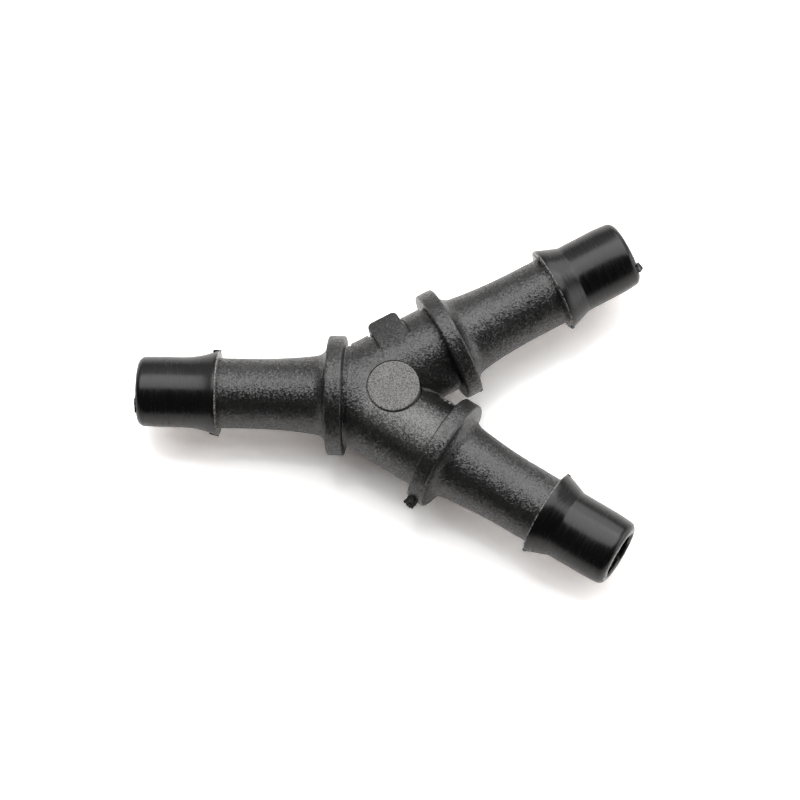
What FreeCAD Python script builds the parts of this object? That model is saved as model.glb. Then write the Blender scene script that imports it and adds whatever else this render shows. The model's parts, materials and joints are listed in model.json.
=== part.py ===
import FreeCAD, Part
import math
import os

# A barbed Y connector for soft 3 mm tubing, injection moulded in one piece.
# Built about the junction, where the three axes meet, with the inlet leg towards -X,
# the outlet legs towards +X and the parting plane of the mould level.
# The finished part stands on its collars, with the middle of its box over the origin.

# Driving dimensions, in millimetres and degrees
outlet_angle = 60.0             # between the two outlet legs

passage_dia = 2.2               # bore of all three legs
arm_dia = 4.2                   # round arms that make the hub

inlet_collar_dia = 5.6
outlet_collar_dia = 5.35
collar_thickness = 0.8
collar_rim_round = 0.1          # both edges of a collar's rim
collar_root_fillet = 0.6        # between a collar and the stem in front of it
collar_face_flat = 0.03         # least flat ring between the rim and the root fillet
inlet_collar_setback = 0.15     # junction to the hub side of the inlet collar
outlet_collar_distance = 4.9    # junction to the hub side of an outlet collar

stem_dia_at_root = 3.68         # where the root fillet runs out
stem_dia = 3.28                 # from the end of the flare to the barb
stem_flare_length = 3.7         # collar to the end of the stem's hollow flare
stem_length = 5.1               # collar to barb edge
barb_land = 0.1                 # narrow cylinder at a barb's largest diameter

inlet_leg_length = 8.9          # collar to the end of the nose
inlet_barb_dia = 3.98
inlet_flare_length = 1.7        # hollow flare from the nose up to the barb

outlet_leg_length = 9.05
outlet_barb_dia = 4.05
outlet_cone_length = 1.0        # straight cone from the nose up to the barb

nose_dia = 3.3
nose_end_round = 0.4

pad_dia = 2.4                   # flat round pad in the valley on the upper side
pad_distance = 2.2              # junction to the middle of the pad
pad_rise = 0.1                  # above the crowns of the arms

lug_length = 1.5                # along the arm
lug_width = 1.5                 # across the arm, measured on its flat
lug_distance = 2.95             # junction to the middle of the lug, along the arm
lug_slope = 25.0                # fall of its flat away from the crown
lug_rise = 0.03                 # its flat above the arm, where the two touch
lug_corner_round = 0.2

gate_stub_dia = 0.52            # where the runner was broken off an outlet collar
gate_stub_tip_dia = 0.42
gate_stub_height = 0.34
gate_stub_inset = 0.27          # its middle, from the hub side of the collar
gate_stub_root = 0.15           # how deep it starts inside the rim

# Derived values
half_angle = outlet_angle / 2
passage_radius = passage_dia / 2
arm_radius = arm_dia / 2
nose_radius = nose_dia / 2
axis_height = max(inlet_collar_dia, outlet_collar_dia) / 2
inlet_reach = inlet_collar_setback + collar_thickness + inlet_leg_length
outlet_reach = outlet_collar_distance + collar_thickness + outlet_leg_length
leg_heading = FreeCAD.Vector(1, 0, 0)


def at(along, radius):
    """A point of a leg's profile, which lies in the XZ plane."""
    return FreeCAD.Vector(along, 0, radius)


def quarter(start, corner, end):
    """A round arc from start to end that is tangent to the lines through the corner."""
    middle = (start + end) / 2
    away = (corner - middle).normalize()
    half_chord = (end - start).Length / 2
    turn = math.acos((start - corner).normalize().dot((end - corner).normalize()))
    sagitta = half_chord * math.tan((math.pi - turn) / 4)
    return Part.Arc(start, middle + away * sagitta, end).toShape()


def hollow_flare(start, foot):
    """A round arc from start to its foot, where it runs along the leg."""
    chord = foot - start
    inward = (chord * (chord.x / chord.dot(chord)) - leg_heading).normalize()
    sagitta = chord.Length / 2 * math.tan(chord.getAngle(leg_heading) / 2)
    return Part.Arc(start, (start + foot) / 2 + inward * sagitta, foot).toShape()


def flare_heading(start, foot):
    """The direction in which a hollow flare leaves its start."""
    chord = foot - start
    return chord * (2 * chord.x / chord.dot(chord)) - leg_heading


def outlet_rise(barb_edge):
    """Straight cone from a barb down to the nose."""
    foot = at(barb_edge.x + outlet_cone_length, nose_radius)
    return Part.makeLine(barb_edge, foot), foot


def inlet_rise(barb_edge):
    """Hollow flare from a barb down to the nose."""
    foot = at(barb_edge.x + inlet_flare_length, nose_radius)
    return hollow_flare(barb_edge, foot), foot


def leg(collar_start, collar_radius, leg_length, barb_radius, rise):
    """Collar, stem, barb and nose, revolved about X, from the collar's hub side outwards."""
    collar_end = collar_start + collar_thickness
    barb_at = collar_end + stem_length
    tip = collar_end + leg_length
    rim = collar_rim_round

    axis_start = at(collar_start, 0)
    rim_hub_side = [at(collar_start, collar_radius - rim), at(collar_start, collar_radius),
                    at(collar_start + rim, collar_radius)]
    rim_tube_side = [at(collar_end - rim, collar_radius), at(collar_end, collar_radius),
                     at(collar_end, collar_radius - rim)]
    root_end = at(collar_end + collar_root_fillet, stem_dia_at_root / 2)
    flare_foot = at(collar_end + stem_flare_length, stem_dia / 2)
    heading = flare_heading(root_end, flare_foot)
    root_corner = root_end - heading * (collar_root_fillet / heading.x)
    root_top = root_corner.z + (root_end - root_corner).Length
    root_start = at(collar_end, min(root_top, collar_radius - rim - collar_face_flat))
    stem_end = at(barb_at, stem_dia / 2)
    step_top = at(barb_at, barb_radius)
    barb_edge = at(barb_at + barb_land, barb_radius)
    rise_edge, nose_start = rise(barb_edge)
    nose_stop = at(tip - nose_end_round, nose_radius)
    end_face_rim = at(tip, nose_radius - nose_end_round)
    axis_end = at(tip, 0)

    edges = [
        Part.makeLine(axis_start, rim_hub_side[0]),
        quarter(*rim_hub_side),
        Part.makeLine(rim_hub_side[2], rim_tube_side[0]),
        quarter(*rim_tube_side),
        Part.makeLine(rim_tube_side[2], root_start),
        quarter(root_start, root_corner, root_end),
        hollow_flare(root_end, flare_foot),
        Part.makeLine(flare_foot, stem_end),
        Part.makeLine(stem_end, step_top),
        Part.makeLine(step_top, barb_edge),
        rise_edge,
        Part.makeLine(nose_start, nose_stop),
        quarter(nose_stop, at(tip, nose_radius), end_face_rim),
        Part.makeLine(end_face_rim, axis_end),
        Part.makeLine(axis_end, axis_start),
    ]
    profile = Part.Face(Part.Wire(edges))
    return profile.revolve(FreeCAD.Vector(0, 0, 0), leg_heading, 360)


def turned(shape, angle):
    """The shape turned about the junction, in the parting plane."""
    copy = shape.copy()
    copy.rotate(FreeCAD.Vector(0, 0, 0), FreeCAD.Vector(0, 0, 1), angle)
    return copy


def hub():
    """Two round arms that run back to the inlet collar, each on its own side of the middle."""
    back = inlet_collar_setback + collar_thickness / 2
    overrun = (back + arm_radius) / math.cos(math.radians(half_angle))
    arm_length = outlet_collar_distance + collar_thickness / 2
    arm = Part.makeCylinder(arm_radius, overrun + arm_length, FreeCAD.Vector(-overrun, 0, 0),
                            leg_heading)
    own_side = Part.makeBox(back + arm_length + arm_dia, arm_length + arm_dia, 2 * arm_dia,
                            FreeCAD.Vector(-back, 0, -arm_dia))
    upper = turned(arm, half_angle).common(own_side)
    lower = upper.mirror(FreeCAD.Vector(0, 0, 0), FreeCAD.Vector(0, 1, 0))
    return upper.fuse(lower)


def pad():
    """Flat round pad that fills the upper valley up to just above the arms."""
    return Part.makeCylinder(pad_dia / 2, arm_radius + pad_rise, FreeCAD.Vector(pad_distance, 0, 0))


def lug():
    """Flat-topped lug on the outer side of one arm, from the parting plane up."""
    slope = math.radians(lug_slope)
    reach = arm_radius + lug_rise
    inner = FreeCAD.Vector(0, reach * math.sin(slope), reach * math.cos(slope))
    outer = inner + FreeCAD.Vector(0, lug_width * math.cos(slope), -lug_width * math.sin(slope))
    foot = FreeCAD.Vector(0, outer.y, 0)
    inside = FreeCAD.Vector(0, inner.y, 0)
    section = Part.Face(Part.makePolygon([inner, outer, foot, inside, inner]))
    block = section.extrude(FreeCAD.Vector(lug_length, 0, 0))
    block.translate(FreeCAD.Vector(lug_distance - lug_length / 2, 0, 0))
    upright = [edge for edge in block.Edges if abs(edge.tangentAt(edge.FirstParameter).z) > 0.99]
    corners = [edge for edge in upright if edge.CenterOfMass.y > (inner.y + outer.y) / 2]
    return turned(block.makeFillet(lug_corner_round, corners), half_angle)


def gate_stub():
    """Broken-off gate on the rim of one outlet collar, in the parting plane."""
    rim = outlet_collar_dia / 2
    stub = Part.makeCone(gate_stub_dia / 2, gate_stub_tip_dia / 2, gate_stub_root + gate_stub_height,
                         FreeCAD.Vector(outlet_collar_distance + gate_stub_inset, gate_stub_root - rim, 0),
                         FreeCAD.Vector(0, -1, 0))
    return turned(stub, -half_angle)


def passages():
    """The three bores, which meet at the junction."""
    inlet = Part.makeCylinder(passage_radius, inlet_reach, FreeCAD.Vector(-inlet_reach, 0, 0), leg_heading)
    outlet = Part.makeCylinder(passage_radius, outlet_reach, FreeCAD.Vector(0, 0, 0), leg_heading)
    return inlet.fuse([turned(outlet, half_angle), turned(outlet, -half_angle)])


def connector():
    """The whole fitting as one solid, about the junction."""
    outlet = leg(outlet_collar_distance, outlet_collar_dia / 2, outlet_leg_length,
                 outlet_barb_dia / 2, outlet_rise)
    inlet = turned(leg(inlet_collar_setback, inlet_collar_dia / 2, inlet_leg_length,
                       inlet_barb_dia / 2, inlet_rise), 180)
    outside = hub().fuse([inlet, turned(outlet, half_angle), turned(outlet, -half_angle),
                          pad(), lug(), gate_stub()])
    return outside.cut(passages()).removeSplitter()


def box_middle():
    """Middle of the part's box along X, from the inlet's end to the outlets' ends."""
    half = math.radians(half_angle)
    round_centre = (outlet_reach - nose_end_round) * math.cos(half)
    corner = (nose_radius - nose_end_round) * math.sin(half) + nose_end_round
    return (round_centre + corner - inlet_reach) / 2


part = connector()
part.translate(FreeCAD.Vector(-box_middle(), 0, axis_height))
os.makedirs("parts", exist_ok=True)
part.exportStep("parts/y_connector.step")

box = part.optimalBoundingBox(False, False)
print("solids", len(part.Solids), "valid", part.isValid(), "volume", round(part.Volume, 3))
print("box", [round(v, 3) for v in (box.XMin, box.YMin, box.ZMin, box.XMax, box.YMax, box.ZMax)])
print("junction at", round(-box_middle(), 4), 0, axis_height)
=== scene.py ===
import json
import math

import bmesh
import bpy
import numpy as np
from mathutils import Euler, Matrix, Vector, noise


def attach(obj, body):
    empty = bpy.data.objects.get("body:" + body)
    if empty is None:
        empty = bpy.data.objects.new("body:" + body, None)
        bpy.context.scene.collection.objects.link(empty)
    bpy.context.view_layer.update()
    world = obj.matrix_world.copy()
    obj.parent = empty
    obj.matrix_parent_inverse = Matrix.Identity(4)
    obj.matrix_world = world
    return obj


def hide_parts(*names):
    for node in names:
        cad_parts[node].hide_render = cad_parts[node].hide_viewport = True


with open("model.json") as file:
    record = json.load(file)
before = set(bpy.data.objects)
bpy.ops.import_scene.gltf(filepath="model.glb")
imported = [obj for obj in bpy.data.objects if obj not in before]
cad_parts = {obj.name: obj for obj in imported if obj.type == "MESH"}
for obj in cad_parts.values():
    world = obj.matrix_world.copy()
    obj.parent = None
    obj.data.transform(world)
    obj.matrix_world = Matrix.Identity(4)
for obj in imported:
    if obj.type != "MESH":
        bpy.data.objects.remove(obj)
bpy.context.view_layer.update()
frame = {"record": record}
millimetre = 0.001
noise.seed_set(7)       # so that burrs and ragged edges are the same in each run


# Where the three axes meet, and the bores and noses, come from the frame's mounts
def mount(name):
    return next(m for m in frame["record"]["mounts"] if m["name"] == name)


def junctionPoint():
    tip = Vector(mount("outlet_left_passage")["pos_m"])
    axis = Vector(mount("outlet_left_passage")["axis"])
    return tip - axis * (tip.y / axis.y)


junction = junctionPoint()
noseRadius = mount("inlet_nose")["dims"]["r_mm"]
boreRadius = mount("inlet_passage")["dims"]["r_mm"]
inletReach = (Vector(mount("inlet_passage")["pos_m"]) - junction).length / millimetre
outletReach = (Vector(mount("outlet_left_passage")["pos_m"]) - junction).length / millimetre
outletTurn = math.atan2(mount("outlet_left_passage")["axis"][1], mount("outlet_left_passage")["axis"][0])
print("frame loaded, junction at", [round(v, 6) for v in junction])


# Small helpers for node trees, colours and meshes

# adds one node with its settings; inputs maps a socket to a value or to another node's output
def addNode(tree, kind, inputs=None, **settings):
    node = tree.nodes.new(kind)
    for name, value in settings.items():
        setattr(node, name, value)
    for key, value in (inputs or {}).items():
        if isinstance(value, bpy.types.NodeSocket):
            tree.links.new(value, node.inputs[key])
        else:
            node.inputs[key].default_value = value
    return node


def linear(hexColour):
    parts = [int(hexColour[i:i + 2], 16) / 255 for i in (1, 3, 5)]
    return [c / 12.92 if c <= 0.04045 else ((c + 0.055) / 1.055) ** 2.4 for c in parts] + [1]


def newObject(name, mesh):
    made = bpy.data.objects.new(name, mesh)
    bpy.context.scene.collection.objects.link(made)
    return made


def meshFrom(name, points, faces, materials=()):
    mesh = bpy.data.meshes.new(name)
    mesh.from_pydata([tuple(p) for p in points], [], faces)
    for material in materials:
        mesh.materials.append(material)
    return mesh


def evaluatedMesh(made):
    graph = bpy.context.evaluated_depsgraph_get()
    return bpy.data.meshes.new_from_object(made.evaluated_get(graph), depsgraph=graph)


# sets a geometry nodes modifier's inputs by name, through each socket's identifier
def setInputs(modifier, **values):
    for socket in modifier.node_group.interface.items_tree:
        if socket.in_out == "INPUT" and socket.name.replace(" ", "") in values:
            modifier[socket.identifier] = values[socket.name.replace(" ", "")]


# Materials

# black polypropylene off a spark-eroded mould: a greyish skin of fine craters that breaks every
# highlight edge into speckles
grainedFinish = {
    # colour is for the hollows, darkened as painted shade; the ridges take the paler colour
    "colour": "#0a0a0a",
    "worn": "#1b1b1a",
    "specular": (0.5, 0.8),
    "roughness": (0.26, 0.35),
    "craterWidth": 0.07,    # mm across one crater
    "crumbWidth": 0.05,     # mm across the crumbs between the craters
    "grainDepth": 0.008,    # mm, height of the crumbs
    "craterTilt": 0.15,     # slope of the craters' floors, each its own way
    "patchWidth": 1.6,      # mm, uneven sheen
}

# the same plastic off turned and polished core pins: blacker and glossier, with faint marks
# around each leg
polishedFinish = {
    "colour": "#080808",
    "specular": 0.44,
    "roughness": (0.2, 0.3),
    "markWidth": 0.1,       # mm along the leg
    "markLength": 0.9,      # mm around the leg
    "markDepth": 0.0028,
}

# the pad, off the flat end of a pin: greyer and more matt
padFinish = {
    # colour is for the hollows, darkened as painted shade; the ridges take the paler colour
    "colour": "#313030",
    "worn": "#6b6a68",
    "specular": (0.4, 0.6),
    "roughness": (0.36, 0.5),
    "craterWidth": 0.08,
    "crumbWidth": 0.055,
    "grainDepth": 0.012,
    "craterTilt": 0.16,
    "patchWidth": 1.0,
}

# the torn face where the gate broke off: rough, with little shine
tornFinish = {"colour": "#060606", "roughness": 0.45, "specular": 0.45}

# a painted highlight in pale specks along the barbs' sharp edges and the outlets' end faces, where they catch
# the light; stations are from the junction along the legs
barbEdgeGlint = {"stations": (6.07, 10.82, outletReach), "width": 0.032, "speckWidth": 0.09, "colour": "#807d7a"}

# pale bits on the burrs and flash: painted glints where they catch the light
glintFinish = {"colour": "#b3b1ae", "roughness": 0.5, "specular": 0.5}

# painted sheen: the crown of the lower arm made paler, standing in for the brighter highlight that falls
# there
paintedCrownSheen = {"start": 1.9, "end": 4.3, "height": 2.1, "inner": 0.3, "outer": 1.4,
               "colour": "#5c5b5a"}


def newMaterial(name):
    material = bpy.data.materials.new(name)
    material.use_nodes = True
    tree = material.node_tree
    tree.nodes.clear()
    shader = tree.nodes.new("ShaderNodeBsdfPrincipled")
    shader.inputs["IOR"].default_value = 1.49  # polypropylene
    output = tree.nodes.new("ShaderNodeOutputMaterial")
    tree.links.new(shader.outputs["BSDF"], output.inputs["Surface"])
    return material, tree, shader


# object coordinates in millimetres, so that the scales below are per millimetre
def millimetreCoordinates(tree):
    place = addNode(tree, "ShaderNodeTexCoord")
    scale = [1 / millimetre] * 3
    return addNode(tree, "ShaderNodeMapping", {"Vector": place.outputs["Object"], "Scale": scale}).outputs[0]


# 1 along the crown of the lower arm, falling to 0 around it: where the painted crown sheen goes
def paintedCrownSheenShare(tree, place):
    heading = Vector((math.cos(outletTurn), -math.sin(outletTurn), 0))
    start = junction / millimetre + heading * paintedCrownSheen["start"] + Vector((0, 0, paintedCrownSheen["height"]))
    length = paintedCrownSheen["end"] - paintedCrownSheen["start"]
    offset = addNode(tree, "ShaderNodeVectorMath", {0: place, 1: tuple(start)}, operation="SUBTRACT")
    along = addNode(tree, "ShaderNodeVectorMath", {0: offset.outputs[0], 1: tuple(heading)},
                    operation="DOT_PRODUCT")
    reached = addNode(tree, "ShaderNodeClamp", {"Value": along.outputs["Value"], "Max": length})
    nearest = addNode(tree, "ShaderNodeVectorMath", {0: tuple(heading), "Scale": reached.outputs[0]},
                      operation="SCALE")
    away = addNode(tree, "ShaderNodeVectorMath", {0: offset.outputs[0], 1: nearest.outputs[0]},
                   operation="DISTANCE")
    return addNode(tree, "ShaderNodeMapRange",
                   {"Value": away.outputs["Value"], "From Min": paintedCrownSheen["outer"],
                    "From Max": paintedCrownSheen["inner"]}, interpolation_type="SMOOTHSTEP").outputs[0]


def erodedMaterial(name, finish):
    material, tree, shader = newMaterial(name)
    place = millimetreCoordinates(tree)
    cells = addNode(tree, "ShaderNodeTexVoronoi", {"Vector": place, "Scale": 1 / finish["craterWidth"]})
    crumbs = addNode(tree, "ShaderNodeTexNoise",
                     {"Vector": place, "Scale": 1 / finish["crumbWidth"], "Detail": 1.0, "Roughness": 0.6})
    height = addNode(tree, "ShaderNodeMath", {0: cells.outputs["Distance"], 1: crumbs.outputs["Fac"]},
                     operation="ADD")
    # each crater's floor leans its own way, which breaks the highlights into dots
    lean = addNode(tree, "ShaderNodeVectorMath", {0: cells.outputs["Color"], 1: (0.5, 0.5, 0.5)},
                   operation="SUBTRACT")
    lean = addNode(tree, "ShaderNodeVectorMath", {0: lean.outputs[0], "Scale": 2 * finish["craterTilt"]},
                   operation="SCALE")
    skinNormal = addNode(tree, "ShaderNodeNewGeometry").outputs["Normal"]
    leaning = addNode(tree, "ShaderNodeVectorMath", {0: skinNormal, 1: lean.outputs[0]}, operation="ADD")
    leaning = addNode(tree, "ShaderNodeVectorMath", {0: leaning.outputs[0]}, operation="NORMALIZE")
    bump = addNode(tree, "ShaderNodeBump",
                   {"Height": height.outputs[0], "Strength": 1.0, "Normal": leaning.outputs[0],
                    "Distance": finish["grainDepth"] * millimetre})
    patches = addNode(tree, "ShaderNodeTexNoise",
                      {"Vector": place, "Scale": 1 / finish["patchWidth"], "Detail": 4.0, "Roughness": 0.6})
    low, high = finish["roughness"]
    roughness = addNode(tree, "ShaderNodeMapRange",
                        {"Value": patches.outputs["Fac"], "From Min": 0.3, "From Max": 0.7,
                         "To Min": low, "To Max": high})
    # painted shade: the hollows are darker and duller than the ridges between them
    ridgeLitShare = addNode(tree, "ShaderNodeMapRange",
                   {"Value": height.outputs[0], "From Min": 0.55, "From Max": 1.15})
    low, high = finish["specular"]
    shine = addNode(tree, "ShaderNodeMapRange",
                    {"Value": ridgeLitShare.outputs["Result"], "To Min": low, "To Max": high})
    colour = addNode(tree, "ShaderNodeMix",
                     {"Factor": ridgeLitShare.outputs["Result"], "A": linear(finish["colour"]),
                      "B": linear(finish["worn"])}, data_type="RGBA")
    # the lower arm's crown painted paler, mostly on the ridges: a painted highlight
    if finish is grainedFinish:
        sheenShare = addNode(tree, "ShaderNodeMath", {0: paintedCrownSheenShare(tree, place), 1: ridgeLitShare.outputs["Result"]},
                         operation="MULTIPLY")
        colour = addNode(tree, "ShaderNodeMix",
                         {"Factor": sheenShare.outputs[0], "A": colour.outputs["Result"],
                          "B": linear(paintedCrownSheen["colour"])}, data_type="RGBA")
    tree.links.new(colour.outputs["Result"], shader.inputs["Base Color"])
    tree.links.new(shine.outputs[0], shader.inputs["Specular IOR Level"])
    tree.links.new(roughness.outputs["Result"], shader.inputs["Roughness"])
    tree.links.new(bump.outputs["Normal"], shader.inputs["Normal"])
    return material


def plainMaterial(name, finish):
    material, tree, shader = newMaterial(name)
    shader.inputs["Base Color"].default_value = linear(finish["colour"])
    shader.inputs["Roughness"].default_value = finish["roughness"]
    shader.inputs["Specular IOR Level"].default_value = finish["specular"]
    return material


# 1 on the edge of the barbs, broken up by the marks: where the painted edge highlight goes
def barbEdgeGlintShare(tree, along, marks):
    station = addNode(tree, "ShaderNodeSeparateXYZ", {0: along.outputs["Vector"]}).outputs["X"]
    edges = 0.0
    for edge in barbEdgeGlint["stations"]:
        near = addNode(tree, "ShaderNodeMath", {0: station, 1: edge, 2: barbEdgeGlint["width"]},
                       operation="COMPARE")
        edges = addNode(tree, "ShaderNodeMath", {0: near.outputs[0], 1: edges},
                        operation="MAXIMUM").outputs[0]
    broken = addNode(tree, "ShaderNodeMapRange",
                     {"Value": marks.outputs["Fac"], "From Min": 0.36, "From Max": 0.56})
    return addNode(tree, "ShaderNodeMath", {0: edges, 1: broken.outputs["Result"]},
                   operation="MULTIPLY").outputs[0]


def polishedMaterial(name, finish):
    material, tree, shader = newMaterial(name)
    along = addNode(tree, "ShaderNodeAttribute", attribute_name="legSpace")
    specks = addNode(tree, "ShaderNodeTexNoise",
                     {"Vector": along.outputs["Vector"], "Scale": 1 / barbEdgeGlint["speckWidth"]})
    # the barbs' edges painted pale: a painted highlight
    colour = addNode(tree, "ShaderNodeMix",
                     {"Factor": barbEdgeGlintShare(tree, along, specks), "A": linear(finish["colour"]),
                      "B": linear(barbEdgeGlint["colour"])}, data_type="RGBA")
    tree.links.new(colour.outputs["Result"], shader.inputs["Base Color"])
    stretch = [1 / finish["markWidth"], 1 / finish["markLength"], 1 / finish["markLength"]]
    marksAt = addNode(tree, "ShaderNodeMapping", {"Vector": along.outputs["Vector"], "Scale": stretch})
    marks = addNode(tree, "ShaderNodeTexNoise",
                    {"Vector": marksAt.outputs[0], "Scale": 1.0, "Detail": 2.0, "Roughness": 0.5})
    bump = addNode(tree, "ShaderNodeBump",
                   {"Height": marks.outputs["Fac"], "Strength": 1.0,
                    "Distance": finish["markDepth"] * millimetre})
    low, high = finish["roughness"]
    roughness = addNode(tree, "ShaderNodeMapRange",
                        {"Value": marks.outputs["Fac"], "From Min": 0.3, "From Max": 0.7,
                         "To Min": low, "To Max": high})
    shader.inputs["Specular IOR Level"].default_value = finish["specular"]
    tree.links.new(roughness.outputs["Result"], shader.inputs["Roughness"])
    tree.links.new(bump.outputs["Normal"], shader.inputs["Normal"])
    return material


grained = erodedMaterial("polypropyleneErodedGrain", grainedFinish)
polished = polishedMaterial("polypropylenePolishedPin", polishedFinish)
padSkin = erodedMaterial("polypropyleneFineGrain", padFinish)
torn = plainMaterial("polypropyleneTorn", tornFinish)
# a pale material for painted glints
paintedGlint = plainMaterial("polypropylenePaintedGlint", glintFinish)
skins = [grained, polished, padSkin, torn, paintedGlint]
print("materials made")


# gives a mesh the connector's material slots, which joined solids share
def withSkins(mesh):
    for skin in skins:
        mesh.materials.append(skin)
    return mesh


# The fitting is built in millimetres about its junction, inlet towards -X, and set into the
# frame at the end

meshStep = 0.09         # spacing of the skin's points on grained faces
segments = 144          # points around each leg
farAlong = 1e3          # past every leg's end, for a solid with one skin

inletLeg = {
    "turn": math.pi,
    "collarStart": 0.15, "collarDia": 5.6, "collarThickness": 0.8,
    "rimRound": 0.1, "rootFillet": 0.6,
    "stemDiaAtRoot": 3.68, "stemDia": 3.28, "flareLength": 3.7, "stemLength": 5.1,
    "barbDia": 3.98, "barbLand": 0.1, "barbEdgeRound": 0.03,
    "riseLength": 1.7, "hollow": True,
    "leadIn": 0.9, "leadDrop": 0.03, "endRound": 0.32, "reach": inletReach,
    "grooveWidth": 0.24,    # the witness line on the hub side of the collar
}
upperLeg = dict(
    inletLeg, turn=outletTurn, collarStart=4.9, collarDia=5.35,
    barbDia=4.05, riseLength=1.0, hollow=False,
    leadDrop=0.07, endRound=0.32, reach=outletReach, grooveWidth=0.14,
)
lowerLeg = dict(upperLeg, turn=-outletTurn, grooveWidth=0.09)


# a round arc from start to end, tangent to the lines through the corner
def roundCorner(start, corner, end, steps):
    start, corner, end = Vector(start), Vector(corner), Vector(end)
    turn = (start - corner).angle(end - corner)
    weight = math.sin(turn / 2)
    points = []
    for i in range(steps + 1):
        t = i / steps
        parts = (1 - t) ** 2, 2 * t * (1 - t) * weight, t ** 2
        points.append(tuple((start * parts[0] + corner * parts[1] + end * parts[2]) / sum(parts)))
    return points


# rounds the corner between two straight edges of a profile
def eased(before, corner, after, radius, steps=3):
    before, corner, after = Vector(before), Vector(corner), Vector(after)
    start = corner + (before - corner).normalized() * radius
    end = corner + (after - corner).normalized() * radius
    return roundCorner(start, corner, end, steps)


# adds points to the long edges of a profile, no further apart than the step
def densified(points, step):
    dense = [points[0]]
    for a, b in zip(points, points[1:]):
        count = max(1, math.ceil((Vector(b) - Vector(a)).length / step))
        dense += [tuple(Vector(a).lerp(Vector(b), i / count)) for i in range(1, count + 1)]
    return dense


# a round arc from start down to its foot, where it runs along the leg
def hollowFlare(start, foot, steps=12):
    length, drop = foot[0] - start[0], start[1] - foot[1]
    radius = (length ** 2 + drop ** 2) / (2 * drop)
    fullTurn = math.asin(length / radius)
    bends = [fullTurn * (1 - i / steps) for i in range(steps + 1)]
    return [(foot[0] - radius * math.sin(a), foot[1] + radius * (1 - math.cos(a))) for a in bends]


# a leg's outline as (along, radius), from the collar's hub side to the middle of the nose's end
def legProfile(leg):
    collarEnd = leg["collarStart"] + leg["collarThickness"]
    barbAt = collarEnd + leg["stemLength"]
    collarRadius, barbRadius, stemRadius = leg["collarDia"] / 2, leg["barbDia"] / 2, leg["stemDia"] / 2
    rim, root = leg["rimRound"], leg["rootFillet"]
    hubRim = (leg["collarStart"], collarRadius)
    tubeRim = (collarEnd, collarRadius)
    rootEnd = (collarEnd + root, leg["stemDiaAtRoot"] / 2)
    flareFoot = (collarEnd + leg["flareLength"], stemRadius)
    lean = 2 * math.atan2(rootEnd[1] - flareFoot[1], flareFoot[0] - rootEnd[0])
    rootCorner = (collarEnd, rootEnd[1] + root * math.tan(lean))
    rootStart = (collarEnd, rootCorner[1] + root / math.cos(lean))
    stepFoot = (barbAt, stemRadius)
    stepTop = (barbAt, barbRadius)
    landEnd = (barbAt + leg["barbLand"], barbRadius)
    riseEnd = (landEnd[0] + leg["riseLength"], noseRadius)

    grainedPart = [(leg["collarStart"], 0), (leg["collarStart"], boreRadius)]
    grainedPart += eased(grainedPart[-1], hubRim, tubeRim, rim)
    grainedPart += eased(hubRim, tubeRim, rootStart, rim)
    grainedPart += roundCorner(rootStart, rootCorner, rootEnd, 8)
    grainedPart += hollowFlare(rootEnd, flareFoot)[1:]
    grainedPart += [stepFoot]
    smoothPart = eased(stepFoot, stepTop, landEnd, leg["barbEdgeRound"])
    if leg["hollow"]:
        smoothPart += hollowFlare(landEnd, riseEnd)
    else:
        smoothPart += [landEnd]
        smoothPart += eased(landEnd, riseEnd, (leg["reach"], noseRadius), 0.05)
    # the nose runs in a little before its rounded end
    lead = (leg["reach"] - leg["leadIn"], noseRadius)
    tip = (leg["reach"], noseRadius - leg["leadDrop"])
    smoothPart += eased(riseEnd, lead, tip, leg["leadIn"] / 3, 5)
    smoothPart += eased(lead, tip, (leg["reach"], 0), leg["endRound"], 8)
    smoothPart += [(leg["reach"], 0)]
    return densified(grainedPart, meshStep) + densified(smoothPart, 4 * meshStep)


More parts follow.
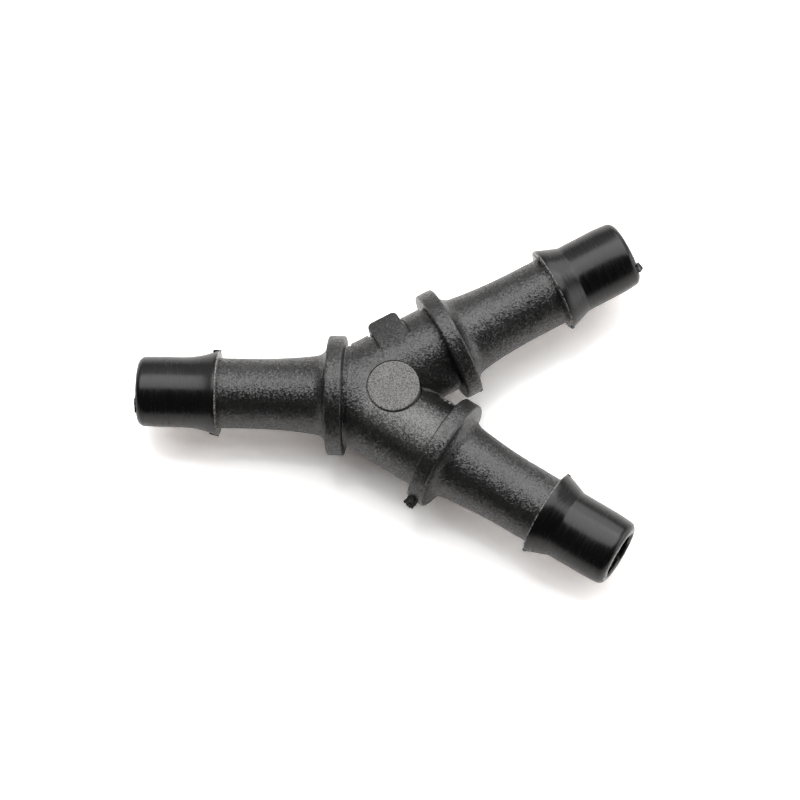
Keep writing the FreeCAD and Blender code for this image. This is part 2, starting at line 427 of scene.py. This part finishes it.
# turns a profile about the X axis, then turns the solid about the junction
def turnedProfileTree():
    tree = bpy.data.node_groups.new("TurnedProfile", "GeometryNodeTree")
    for name, kind in (("Profile", "Geometry"), ("Segments", "Int"), ("Turn", "Vector"),
                       ("Direction", "Vector"), ("Smooth From", "Float"),
                       ("Grained", "Material"), ("Smooth", "Material")):
        tree.interface.new_socket(name, in_out="INPUT", socket_type="NodeSocket" + kind)
    tree.interface.new_socket("Solid", in_out="OUTPUT", socket_type="NodeSocketGeometry")
    given = tree.nodes.new("NodeGroupInput").outputs
    rings = addNode(tree, "GeometryNodeAttributeDomainSize", {"Geometry": given["Profile"]})
    around = addNode(tree, "FunctionNodeIntegerMath", {0: given["Segments"], 1: 1}, operation="ADD")
    sheet = addNode(tree, "GeometryNodeMeshGrid",
                    {"Vertices X": rings.outputs["Point Count"], "Vertices Y": around.outputs[0]})
    index = addNode(tree, "GeometryNodeInputIndex").outputs[0]
    ring = addNode(tree, "FunctionNodeIntegerMath", {0: index, 1: around.outputs[0]},
                   operation="DIVIDE_FLOOR")
    spoke = addNode(tree, "FunctionNodeIntegerMath", {0: index, 1: around.outputs[0]}, operation="MODULO")
    position = addNode(tree, "GeometryNodeInputPosition").outputs[0]
    outline = addNode(tree, "GeometryNodeSampleIndex",
                      {"Geometry": given["Profile"], "Index": ring.outputs[0]}, data_type="FLOAT_VECTOR")
    tree.links.new(position, outline.inputs["Value"])
    parts = addNode(tree, "ShaderNodeSeparateXYZ", {0: outline.outputs[0]}).outputs
    share = addNode(tree, "ShaderNodeMath", {0: spoke.outputs[0], 1: given["Segments"]},
                    operation="DIVIDE")
    angle = addNode(tree, "ShaderNodeMath", {0: share.outputs[0], 1: math.tau}, operation="MULTIPLY")
    cosine = addNode(tree, "ShaderNodeMath", {0: angle.outputs[0]}, operation="COSINE")
    sine = addNode(tree, "ShaderNodeMath", {0: angle.outputs[0]}, operation="SINE")
    across = addNode(tree, "ShaderNodeMath", {0: parts["Y"], 1: cosine.outputs[0]}, operation="MULTIPLY")
    up = addNode(tree, "ShaderNodeMath", {0: parts["Y"], 1: sine.outputs[0]}, operation="MULTIPLY")
    point = addNode(tree, "ShaderNodeCombineXYZ",
                    {"X": parts["X"], "Y": across.outputs[0], "Z": up.outputs[0]})
    turned = addNode(tree, "GeometryNodeSetPosition",
                     {"Geometry": sheet.outputs["Mesh"], "Position": point.outputs[0]})
    welded = addNode(tree, "GeometryNodeMergeByDistance", {"Geometry": turned.outputs[0], "Distance": 1e-5})
    placed = addNode(tree, "GeometryNodeTransform",
                     {"Geometry": welded.outputs[0], "Rotation": given["Turn"]})
    solid = addNode(tree, "GeometryNodeRealizeInstances", {"Geometry": placed.outputs[0]})
    station = addNode(tree, "ShaderNodeVectorMath", {0: position, 1: given["Direction"]},
                      operation="DOT_PRODUCT")
    isSmooth = addNode(tree, "FunctionNodeCompare",
                       {"A": station.outputs["Value"], "B": given["Smooth From"]},
                       data_type="FLOAT", operation="GREATER_THAN")
    skin = addNode(tree, "GeometryNodeSetMaterial",
                   {"Geometry": solid.outputs[0], "Material": given["Grained"]})
    skin = addNode(tree, "GeometryNodeSetMaterial",
                   {"Geometry": skin.outputs[0], "Selection": isSmooth.outputs[0],
                    "Material": given["Smooth"]})
    addNode(tree, "NodeGroupOutput", {0: skin.outputs[0]})
    return tree


turnedProfile = turnedProfileTree()


# a closed solid turned from a profile, as a plain mesh with the shared material slots
def turnedSolid(name, profile, turn, smoothFrom=farAlong, base=grained, spokes=segments):
    mesh = bpy.data.meshes.new(name)
    mesh.from_pydata([(x, r, 0) for x, r in profile], [(i, i + 1) for i in range(len(profile) - 1)], [])
    made = newObject(name, withSkins(mesh))
    modifier = made.modifiers.new("Turned", "NODES")
    modifier.node_group = turnedProfile
    direction = Euler(turn).to_matrix() @ Vector((1, 0, 0))
    setInputs(modifier, Segments=spokes, Turn=turn, Direction=tuple(direction),
              SmoothFrom=float(smoothFrom), Grained=base, Smooth=polished)
    solid = evaluatedMesh(made)
    bpy.data.objects.remove(made)
    return newObject(name, withOutwardFaces(solid))


def withOutwardFaces(mesh):
    work = bmesh.new()
    work.from_mesh(mesh)
    bmesh.ops.recalc_face_normals(work, faces=work.faces)
    if work.calc_volume(signed=True) < 0:
        bmesh.ops.reverse_faces(work, faces=work.faces)
    work.to_mesh(mesh)
    work.free()
    return mesh


# The hub: two arms that meet at the middle plane and end inside the inlet collar
hub = {
    "armDia": 4.2,
    "back": 0.55,           # behind the junction, inside the inlet collar
    "armLength": 5.3,       # to the middle of an outlet collar
    "creaseBlend": 0.25,    # how far from the crease the two arms run into each other
    "padGroove": 0.07,      # width of the witness line around the pad
    "lugGroove": 0.14,      # and of those at the lug's two ends
    "grooveDepth": 0.12,
}


# pushes a point out onto the arms' smoothly blended skin
def ontoBlend(point, radius, axes, blend):
    for _ in range(4):
        pulls = []
        for axis in axes:
            offset = point - axis * point.dot(axis)
            pulls.append((offset.length - radius, offset.normalized()))
        (near, nearWay), (far, farWay) = sorted(pulls, key=lambda pull: pull[0])
        mix = max(0.0, 1 - (far - near) / blend)
        value = near - mix * mix * blend / 4
        way = nearWay.lerp(farWay, mix / 2)
        point = point - way * (value / way.length_squared)
    return point


# the hub's outer skin, or the same form a little smaller
def hubSolid(inset=0.0):
    radius, back, armLength = hub["armDia"] / 2 - inset, hub["back"] - inset, hub["armLength"] - inset
    slope, lean = math.tan(outletTurn), math.cos(outletTurn)
    upperAxis = Vector((math.cos(outletTurn), math.sin(outletTurn), 0))
    lowerAxis = Vector((upperAxis.x, -upperAxis.y, 0))
    side = Vector((-upperAxis.y, upperAxis.x, 0))
    # across the arm, the line where the middle plane hands over to the back plane
    handOver = back / (math.sin(outletTurn) + math.cos(outletTurn) / slope * lean)
    turns = [math.tau * i / segments for i in range(segments)]
    corner = math.acos(handOver / radius)
    for edge in (corner, math.tau - corner):
        nearest = min(range(segments), key=lambda i: abs(turns[i] - edge))
        turns[nearest] = edge
    rows = math.ceil((armLength + back) / meshStep)
    points = []
    for turn in turns:
        offset = side * (radius * math.cos(turn)) + Vector((0, 0, radius * math.sin(turn)))
        start = max(-offset.y / upperAxis.y, (-back - offset.x) / upperAxis.x)
        for row in range(rows + 1):
            along = start + (armLength - start) * row / rows
            points.append(upperAxis * along + offset)
    faces = []
    for i in range(segments):
        j = (i + 1) % segments
        for row in range(rows):
            a, b = i * (rows + 1) + row, j * (rows + 1) + row
            faces.append((a, b, b + 1, a + 1))
    faces.append([i * (rows + 1) + rows for i in range(segments)])
    work = bmesh.new()
    for flip in (1, -1):
        verts = [work.verts.new((p.x, p.y * flip, p.z)) for p in points]
        for face in faces:
            work.faces.new([verts[i] for i in face])
    bmesh.ops.remove_doubles(work, verts=work.verts, dist=1e-5)
    bmesh.ops.holes_fill(work, edges=[e for e in work.edges if e.is_boundary], sides=0)
    for vert in work.verts:
        if vert.co.x > -back + 1e-4:
            inner = vert.co.dot(upperAxis) < armLength - 1e-4
            outer = vert.co.dot(lowerAxis) < armLength - 1e-4
            if inner and outer:
                vert.co = ontoBlend(vert.co.copy(), radius, (upperAxis, lowerAxis), hub["creaseBlend"])
    mesh = bpy.data.meshes.new("hub")
    work.to_mesh(mesh)
    work.free()
    return newObject("hub", withOutwardFaces(withSkins(mesh)))


# The pad in the upper valley, with a slightly eased edge
pad = {"dia": 2.4, "distance": 2.23, "across": -0.14, "rise": 0.1, "edgeRound": 0.03}


# the pad, or the wider hole that leaves the line around it
def padSolid(wider=0.0):
    top = hub["armDia"] / 2 + pad["rise"] + wider
    radius = pad["dia"] / 2 + wider
    profile = [(0, 0), (0, radius)]
    profile += eased((0, radius), (top, radius), (top, 0), pad["edgeRound"])
    profile += [(top, 0)]
    made = turnedSolid("pad", densified(profile, meshStep), (0, -math.pi / 2, 0), base=padSkin)
    made.data.transform(Matrix.Translation((pad["distance"], pad["across"], 0)))
    return made


# a thin disc on the hub side of a collar, which cuts the line between the two
def grooveSolid(leg):
    width, radius = leg["grooveWidth"], leg["collarDia"] / 2
    start, end = leg["collarStart"] - width, leg["collarStart"] + width / 2
    profile = [(start, 0), (start, radius), (end, radius), (end, 0)]
    return turnedSolid("groove", profile, (0, 0, leg["turn"]))


# The flat-topped lug on the outer side of the upper arm
lug = {"length": 1.5, "width": 1.5, "distance": 2.95, "slope": math.radians(25), "rise": 0.03,
       "cornerRound": 0.26, "edgeRound": 0.05, "sink": 0.03, "rampTurn": math.radians(14)}


# the lug, or the longer hole that leaves the lines at its two ends
def lugSolid(longer=0.0):
    reach = hub["armDia"] / 2 + lug["rise"]
    slope = lug["slope"]
    inner = Vector((0, reach * math.sin(slope), reach * math.cos(slope)))
    outer = inner + Vector((0, lug["width"] * math.cos(slope), -lug["width"] * math.sin(slope)))
    # the flat starts just inside the arm's skin, so that no line shows there
    sunk, turn = hub["armDia"] / 2 - lug["sink"], slope - lug["rampTurn"]
    ramp = Vector((0, sunk * math.sin(turn), sunk * math.cos(turn)))
    section = [ramp, inner, outer, Vector((0, outer.y, 0)), Vector((0, ramp.y, 0))]
    half = lug["length"] / 2 + longer
    start, end = lug["distance"] - half, lug["distance"] + half
    work = bmesh.new()
    ends = [[work.verts.new((x, p.y, p.z)) for p in section] for x in (start, end)]
    for i in range(len(section)):
        j = (i + 1) % len(section)
        work.faces.new((ends[0][i], ends[0][j], ends[1][j], ends[1][i]))
    work.faces.new(ends[0])
    work.faces.new(list(reversed(ends[1])))
    upright = [e for e in work.edges if all(abs(v.co.y - outer.y) < 1e-4 for v in e.verts)
               and abs(e.verts[0].co.x - e.verts[1].co.x) < 1e-4]
    bmesh.ops.bevel(work, geom=upright, offset=lug["cornerRound"], segments=5, profile=0.5,
                    affect="EDGES")
    bmesh.ops.recalc_face_normals(work, faces=work.faces)
    # the flat's own rim, but not where it runs into the arm
    rim = [e for e in work.edges if e.is_manifold and e.calc_face_angle(0) > 0.6
           and any(f.normal.z > 0.8 for f in e.link_faces)
           and sum(v.co.y for v in e.verts) / 2 > inner.y + 0.01]
    bmesh.ops.bevel(work, geom=rim, offset=lug["edgeRound"], segments=3, profile=0.5,
                    affect="EDGES", clamp_overlap=True)
    mesh = bpy.data.meshes.new("lug")
    work.to_mesh(mesh)
    work.free()
    mesh.transform(Matrix.Rotation(outletTurn, 4, "Z"))
    return newObject("lug", withOutwardFaces(withSkins(mesh)))


# The stub of the broken gate, on the lower outlet collar's rim
gateStub = {"dia": 0.54, "tipDia": 0.56, "tipRound": 0.16, "height": 0.37, "inset": 0.33, "root": 0.15,
            "ragged": 0.12, "coarseScale": 5, "coarseShare": 0.6, "fineScale": 11, "spokes": 48, "step": 0.04}


def gateStubSolid():
    length = gateStub["root"] + gateStub["height"]
    foot, edge, top = (0, gateStub["dia"] / 2), (length, gateStub["tipDia"] / 2), (length, 0)
    profile = [(0, 0), foot] + eased(foot, edge, top, gateStub["tipRound"]) + [top]
    made = turnedSolid("gateStub", densified(profile, gateStub["step"]), (0, 0, -math.pi / 2), base=torn,
                       spokes=gateStub["spokes"])
    rim = lowerLeg["collarDia"] / 2
    made.data.transform(Matrix.Translation(
        (lowerLeg["collarStart"] + gateStub["inset"], gateStub["root"] - rim, 0)))
    for vert in made.data.vertices:
        out = max(0.0, (-vert.co.y - rim) / gateStub["height"])
        coarse, ragged = gateStub["coarseShare"], gateStub["ragged"] * out
        vert.co += noise.noise_vector(vert.co * gateStub["coarseScale"]) * (ragged * coarse)
        vert.co += noise.noise_vector(vert.co * gateStub["fineScale"]) * ragged
    made.data.transform(Matrix.Rotation(-outletTurn, 4, "Z"))
    return made


# Burrs, flash and torn bits. Each sits on a leg at (along it, degrees around it, out from its
# axis), 0 degrees being to the leg's left and 90 up; sizes run along, around and outwards
bits = [
    {"leg": inletLeg, "place": (6.2, 160, 1.96), "size": (0.34, 0.3, 0.12), "skin": polished},
    {"leg": inletLeg, "place": (6.28, -20, 1.95), "size": (0.42, 0.24, 0.07), "lean": 16, "skin": polished},
    {"leg": inletLeg, "place": (9.82, 46, 1.34), "size": (0.14, 0.7, 0.16), "skin": polished},
    {"leg": upperLeg, "place": (14.72, 147, 1.43), "size": (0.34, 0.34, 0.24), "skin": polished},
    # the pale bits here are painted glints
    {"leg": upperLeg, "place": (10.78, 34, 1.88), "size": (0.1, 0.36, 0.28), "skin": paintedGlint},
    {"leg": upperLeg, "place": (10.78, 45, 1.92), "size": (0.08, 0.26, 0.16), "skin": paintedGlint},
    {"leg": upperLeg, "place": (10.83, 190, 1.98), "size": (0.14, 0.26, 0.14), "skin": polished},
    {"leg": lowerLeg, "place": (10.86, 16, 1.97), "size": (0.16, 0.4, 0.14), "skin": polished},
    {"leg": lowerLeg, "place": (10.84, 188, 1.99), "size": (0.16, 0.3, 0.14), "skin": polished},
    {"leg": lowerLeg, "place": (4.3, 15, 2.08), "size": (0.6, 0.24, 0.14), "skin": grained},
    # the pale bits here are painted glints on the flash
    {"leg": lowerLeg, "place": (4.12, 21, 2.11), "size": (0.08, 0.07, 0.07), "skin": paintedGlint},
    {"leg": lowerLeg, "place": (4.38, 22, 2.11), "size": (0.09, 0.06, 0.07), "skin": paintedGlint},
    {"leg": lowerLeg, "place": (4.54, 18, 2.11), "size": (0.05, 0.08, 0.07), "skin": paintedGlint},
    {"leg": upperLeg, "place": (5.62, 188, 2.63), "size": (0.16, 0.3, 0.12), "skin": polished},
]
# a bit starts as a unit cube, is rounded towards a ball and then pulled about, in shares of its size
bitShape = {"ballRadius": 0.55, "rounded": 0.4, "ragged": 0.35, "noiseScale": 2.6}


def bitSolid(bit):
    work = bmesh.new()
    bmesh.ops.create_cube(work, size=1.0)
    bmesh.ops.subdivide_edges(work, edges=work.edges, cuts=3, use_grid_fill=True)
    along, around, out = bit["place"]
    for vert in work.verts:
        vert.co = vert.co.lerp(vert.co.normalized() * bitShape["ballRadius"], bitShape["rounded"])
        waves = noise.noise_vector(vert.co * bitShape["noiseScale"] + Vector(bit["place"]))
        vert.co += waves * bitShape["ragged"]
    shape = Matrix.Diagonal((bit["size"][0], bit["size"][1], bit["size"][2], 1))
    lean = Matrix.Rotation(math.radians(bit.get("lean", 0)), 4, "Y")
    outward = Matrix.Translation((along, 0, out)) @ lean @ shape
    spin = Matrix.Rotation(math.radians(around - 90), 4, "X")
    work.transform(Matrix.Rotation(bit["leg"]["turn"], 4, "Z") @ spin @ outward)
    mesh = bpy.data.meshes.new("bit")
    work.to_mesh(mesh)
    work.free()
    withSkins(mesh)
    for face in mesh.polygons:
        face.material_index = skins.index(bit["skin"])
    return newObject("bit", withOutwardFaces(mesh))


# adds, takes away or keeps the overlap of other solids, one after another
def combine(body, others, operation):
    for other in others:
        modifier = body.modifiers.new("Join", "BOOLEAN")
        modifier.operation = operation
        modifier.solver = "MANIFOLD"
        modifier.object = other
    mesh = evaluatedMesh(body)
    for other in [body] + others:
        bpy.data.objects.remove(other)
    return newObject("y_connector_body", mesh)


# a bore, cut a little wider and unevenly at its mouth
mouth = {"ease": 0.09, "past": 0.5, "ragged": 0.07, "noiseScale": 2.4, "inside": 0.3, "step": 0.1}


def boreSolid(name, reach, turn, spokes):
    start, end = reach - mouth["ease"], reach + mouth["past"]
    flare = [(start - mouth["inside"], boreRadius), (start, boreRadius),
             (end, boreRadius + mouth["ease"] + mouth["past"]), (end, 0)]
    profile = [(0, 0), (0, boreRadius)] + densified(flare, mouth["step"])
    made = turnedSolid(name, profile, (0, 0, turn), base=polished, spokes=spokes)
    for vert in made.data.vertices:
        if vert.co.length > start and vert.co.length > boreRadius * 2:
            vert.co += noise.noise_vector(vert.co * mouth["noiseScale"]) * mouth["ragged"]
    return made


def connectorBody():
    legs = []
    for name, leg in (("inletLeg", inletLeg), ("upperLeg", upperLeg), ("lowerLeg", lowerLeg)):
        barbFoot = leg["collarStart"] + leg["collarThickness"] + leg["stemLength"]
        legs.append(turnedSolid(name, legProfile(leg), (0, 0, leg["turn"]), smoothFrom=barbFoot - 0.001))
    grooves = [grooveSolid(leg) for leg in (inletLeg, upperLeg, lowerLeg)]
    grooves += [padSolid(wider=hub["padGroove"]), lugSolid(longer=hub["lugGroove"])]
    body = combine(hubSolid(), grooves, "DIFFERENCE")
    core = hubSolid(inset=hub["grooveDepth"])
    body = combine(body, [core] + legs + [padSolid(), lugSolid(), gateStubSolid()], "UNION")
    body = combine(body, [bitSolid(bit) for bit in bits], "UNION")
    # unequal spokes, so that no two faces coincide where the bores meet
    bores = [boreSolid("inletBore", inletReach, math.pi, 144),
             boreSolid("upperBore", outletReach, outletTurn, 140),
             boreSolid("lowerBore", outletReach, -outletTurn, 136)]
    return combine(body, bores, "DIFFERENCE")


connector = connectorBody()


# Clearing up what the cuts left, in millimetres and degrees
cleaning = {"mergeWithin": 2e-5, "sliverArea": 1e-3, "rounds": 4, "sharpAngle": 34}


# drops pairs of triangles that enclose nothing, and edges without a face
def dropFlatPairs(work):
    alike = {}
    for face in work.faces:
        alike.setdefault(frozenset(face.verts), []).append(face)
    flat = [face for group in alike.values() if len(group) == 2 for face in group]
    bmesh.ops.delete(work, geom=flat, context="FACES")
    bmesh.ops.delete(work, geom=[e for e in work.edges if e.is_wire], context="EDGES")


# takes out the slivers at a leak and closes the gap that they leave
def closeLeaks(work, leaking):
    slivers = [face for edge in leaking for face in edge.link_faces
               if face.calc_area() < cleaning["sliverArea"]]
    bmesh.ops.delete(work, geom=list(dict.fromkeys(slivers)), context="FACES")
    gaps = [e for e in work.edges if e.is_boundary]
    filled = bmesh.ops.holes_fill(work, edges=gaps, sides=0)["faces"]
    bmesh.ops.triangulate(work, faces=filled, quad_method="SHORT_EDGE")


# merges and mends the mesh, reports leaks and sets the soft and hard edges
def cleaned(mesh):
    work = bmesh.new()
    work.from_mesh(mesh)
    bmesh.ops.remove_doubles(work, verts=work.verts, dist=cleaning["mergeWithin"])
    bmesh.ops.dissolve_verts(work, verts=[v for v in work.verts if len(v.link_edges) == 2])
    bmesh.ops.triangulate(work, faces=work.faces)
    for _ in range(cleaning["rounds"]):
        dropFlatPairs(work)
        leaking = [e for e in work.edges if not e.is_manifold]
        if not leaking:
            break
        closeLeaks(work, leaking)
    print("body", len(work.faces), "triangles,", sum(not e.is_manifold for e in work.edges),
          "leaking edges, volume", round(work.calc_volume(signed=True), 2), "cubic mm")
    for face in work.faces:
        face.smooth = True
    work.to_mesh(mesh)
    work.free()
    mesh.set_sharp_from_angle(angle=math.radians(cleaning["sharpAngle"]))


cleaned(connector.data)


# each leg's own coordinates in millimetres, for marks that run around it
def storeLegSpace(mesh):
    places = np.empty(len(mesh.vertices) * 3)
    mesh.vertices.foreach_get("co", places)
    places = places.reshape(-1, 3)
    legSpace = np.empty_like(places)
    turns = [math.pi, outletTurn, -outletTurn]
    axes = np.array([(math.cos(t), math.sin(t), 0) for t in turns])
    owner = np.argmax(places @ axes.T, axis=1)
    for i, turn in enumerate(turns):
        mine = owner == i
        across = np.array((-math.sin(turn), math.cos(turn), 0))
        legSpace[mine] = np.column_stack(
            (places[mine] @ axes[i], places[mine] @ across, places[mine][:, 2]))
    attribute = mesh.attributes.new("legSpace", "FLOAT_VECTOR", "POINT")
    attribute.data.foreach_set("vector", legSpace.ravel())


storeLegSpace(connector.data)

# into the frame
connector.data.transform(Matrix.Translation(junction) @ Matrix.Scale(millimetre, 4))
connector.name = "connector_body"
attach(connector, "root")
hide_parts("y_connector")
print("connector in place")


# The stage: floor, lamps, world and camera

# a glossy sheet of milky acrylic, in which light spreads under the part and softens its shadow
acrylicSheet = {"size": 1.2, "colour": "#f5f2f0", "roughness": 0.1, "spread": 5.0,
                "reds": (1.0, 0.93, 0.88),      # red light spreads furthest
                "backdrop": 0.55, "mirrored": 0.1}


def makeFloor():
    half = acrylicSheet["size"] / 2
    corners = [(-half, -half, 0), (half, -half, 0), (half, half, 0), (-half, half, 0)]
    material, tree, shader = newMaterial("milkyAcrylicSheet")
    shader.subsurface_method = "BURLEY"
    shader.inputs["Base Color"].default_value = linear(acrylicSheet["colour"])
    shader.inputs["Roughness"].default_value = acrylicSheet["roughness"]
    shader.inputs["Subsurface Weight"].default_value = 1.0
    shader.inputs["Subsurface Radius"].default_value = acrylicSheet["reds"]
    shader.inputs["Subsurface Scale"].default_value = acrylicSheet["spread"] * millimetre
    # whiter for the rays that show it as the backdrop, and a little so in reflections
    path = addNode(tree, "ShaderNodeLightPath").outputs
    mirrored = addNode(tree, "ShaderNodeMath", {0: path["Is Glossy Ray"], 1: path["Is Transmission Ray"]},
                       operation="MAXIMUM")
    mirrored = addNode(tree, "ShaderNodeMath", {0: mirrored.outputs[0], 1: acrylicSheet["mirrored"]},
                       operation="MULTIPLY")
    level = addNode(tree, "ShaderNodeMath",
                    {0: path["Is Camera Ray"], 1: acrylicSheet["backdrop"], 2: mirrored.outputs[0]},
                    operation="MULTIPLY_ADD")
    white = addNode(tree, "ShaderNodeSubsurfaceScattering",
                    {"Color": level.outputs[0], "Scale": acrylicSheet["spread"] * millimetre,
                     "Radius": acrylicSheet["reds"]}, falloff="BURLEY")
    both = addNode(tree, "ShaderNodeAddShader", {0: shader.outputs["BSDF"], 1: white.outputs[0]})
    output = next(node for node in tree.nodes if node.type == "OUTPUT_MATERIAL")
    tree.links.new(both.outputs[0], output.inputs["Surface"])
    made = newObject("floor", meshFrom("floor", corners, [(0, 1, 2, 3)], [material]))


softbox = {"height": 0.5, "left": -0.45, "right": 0.52, "near": -0.05, "far": 0.42, "radiance": 2.8}
sideLight = {"azimuth": 68, "elevation": 34, "distance": 0.6, "width": 0.42, "height": 0.39,
             "radiance": 2.2}


# an area lamp of a given brightness, white being 1
def areaLamp(name, place, target, width, height, radiance):
    lamp = bpy.data.lights.new(name, "AREA")
    lamp.shape = "RECTANGLE"
    lamp.size, lamp.size_y = width, height
    lamp.energy = radiance * math.pi * width * height
    made = bpy.data.objects.new(name, lamp)
    made.location = place
    made.rotation_euler = (Vector(target) - Vector(place)).to_track_quat("-Z", "Y").to_euler()
    bpy.context.scene.collection.objects.link(made)


def makeLamps():
    x, y = (softbox["left"] + softbox["right"]) / 2, (softbox["near"] + softbox["far"]) / 2
    areaLamp("softbox", (x, y, softbox["height"]), (x, y, 0), softbox["right"] - softbox["left"],
             softbox["far"] - softbox["near"], softbox["radiance"])
    azimuth, elevation = math.radians(sideLight["azimuth"]), math.radians(sideLight["elevation"])
    way = Vector((math.cos(azimuth) * math.cos(elevation), math.sin(azimuth) * math.cos(elevation),
                  math.sin(elevation)))
    areaLamp("sideLight", way * sideLight["distance"], (0, 0, 0),
             sideLight["width"], sideLight["height"], sideLight["radiance"])


# the room: a pale wall on the far side, dimmer towards the table, dark on the near side, and a
# bright window low on the right
room = {"farLow": 0.5, "farHigh": 1.3, "nearLeft": 0.1, "nearRight": 0.01, "window": 3.0}


def makeWorld():
    world = bpy.data.worlds.new("room")
    world.use_nodes = True
    tree = world.node_tree
    tree.nodes.clear()
    way = addNode(tree, "ShaderNodeTexCoord").outputs["Generated"]
    parts = addNode(tree, "ShaderNodeSeparateXYZ", {0: way}).outputs
    far = addNode(tree, "ShaderNodeMapRange",
                  {"Value": parts["Z"], "To Min": room["farLow"], "To Max": room["farHigh"]})
    near = addNode(tree, "ShaderNodeMapRange",
                   {"Value": parts["X"], "From Min": -1.0, "To Min": room["nearLeft"],
                    "To Max": room["nearRight"]})
    level = addNode(tree, "ShaderNodeMapRange",
                    {"Value": parts["Y"], "From Min": -0.1, "From Max": 0.5,
                     "To Min": near.outputs["Result"], "To Max": far.outputs["Result"]},
                    interpolation_type="SMOOTHSTEP")
    window = addNode(tree, "ShaderNodeMapRange",
                     {"Value": parts["X"], "From Min": 0.8, "From Max": 0.95, "To Max": room["window"]})
    level = addNode(tree, "ShaderNodeMath", {0: level.outputs["Result"], 1: window.outputs["Result"]},
                    operation="ADD")
    light = addNode(tree, "ShaderNodeBackground", {"Strength": level.outputs[0]})
    addNode(tree, "ShaderNodeOutputWorld", {"Surface": light.outputs[0]})
    bpy.context.scene.world = world


camera = {"location": (0.010551, -0.046361, 0.151841), "rotation": (17.327, 3.113, 2.267), "lens": 151.0}


def makeCamera():
    data = bpy.data.cameras.new("camera")
    data.lens = camera["lens"]
    data.sensor_width = 36.0
    data.clip_start, data.clip_end = 0.01, 10
    made = bpy.data.objects.new("camera", data)
    made.location = camera["location"]
    made.rotation_euler = [math.radians(a) for a in camera["rotation"]]
    bpy.context.scene.collection.objects.link(made)
    bpy.context.scene.camera = made


makeFloor()
makeLamps()
makeWorld()
makeCamera()
bpy.context.scene.view_settings.view_transform = "Standard"
print("stage set")
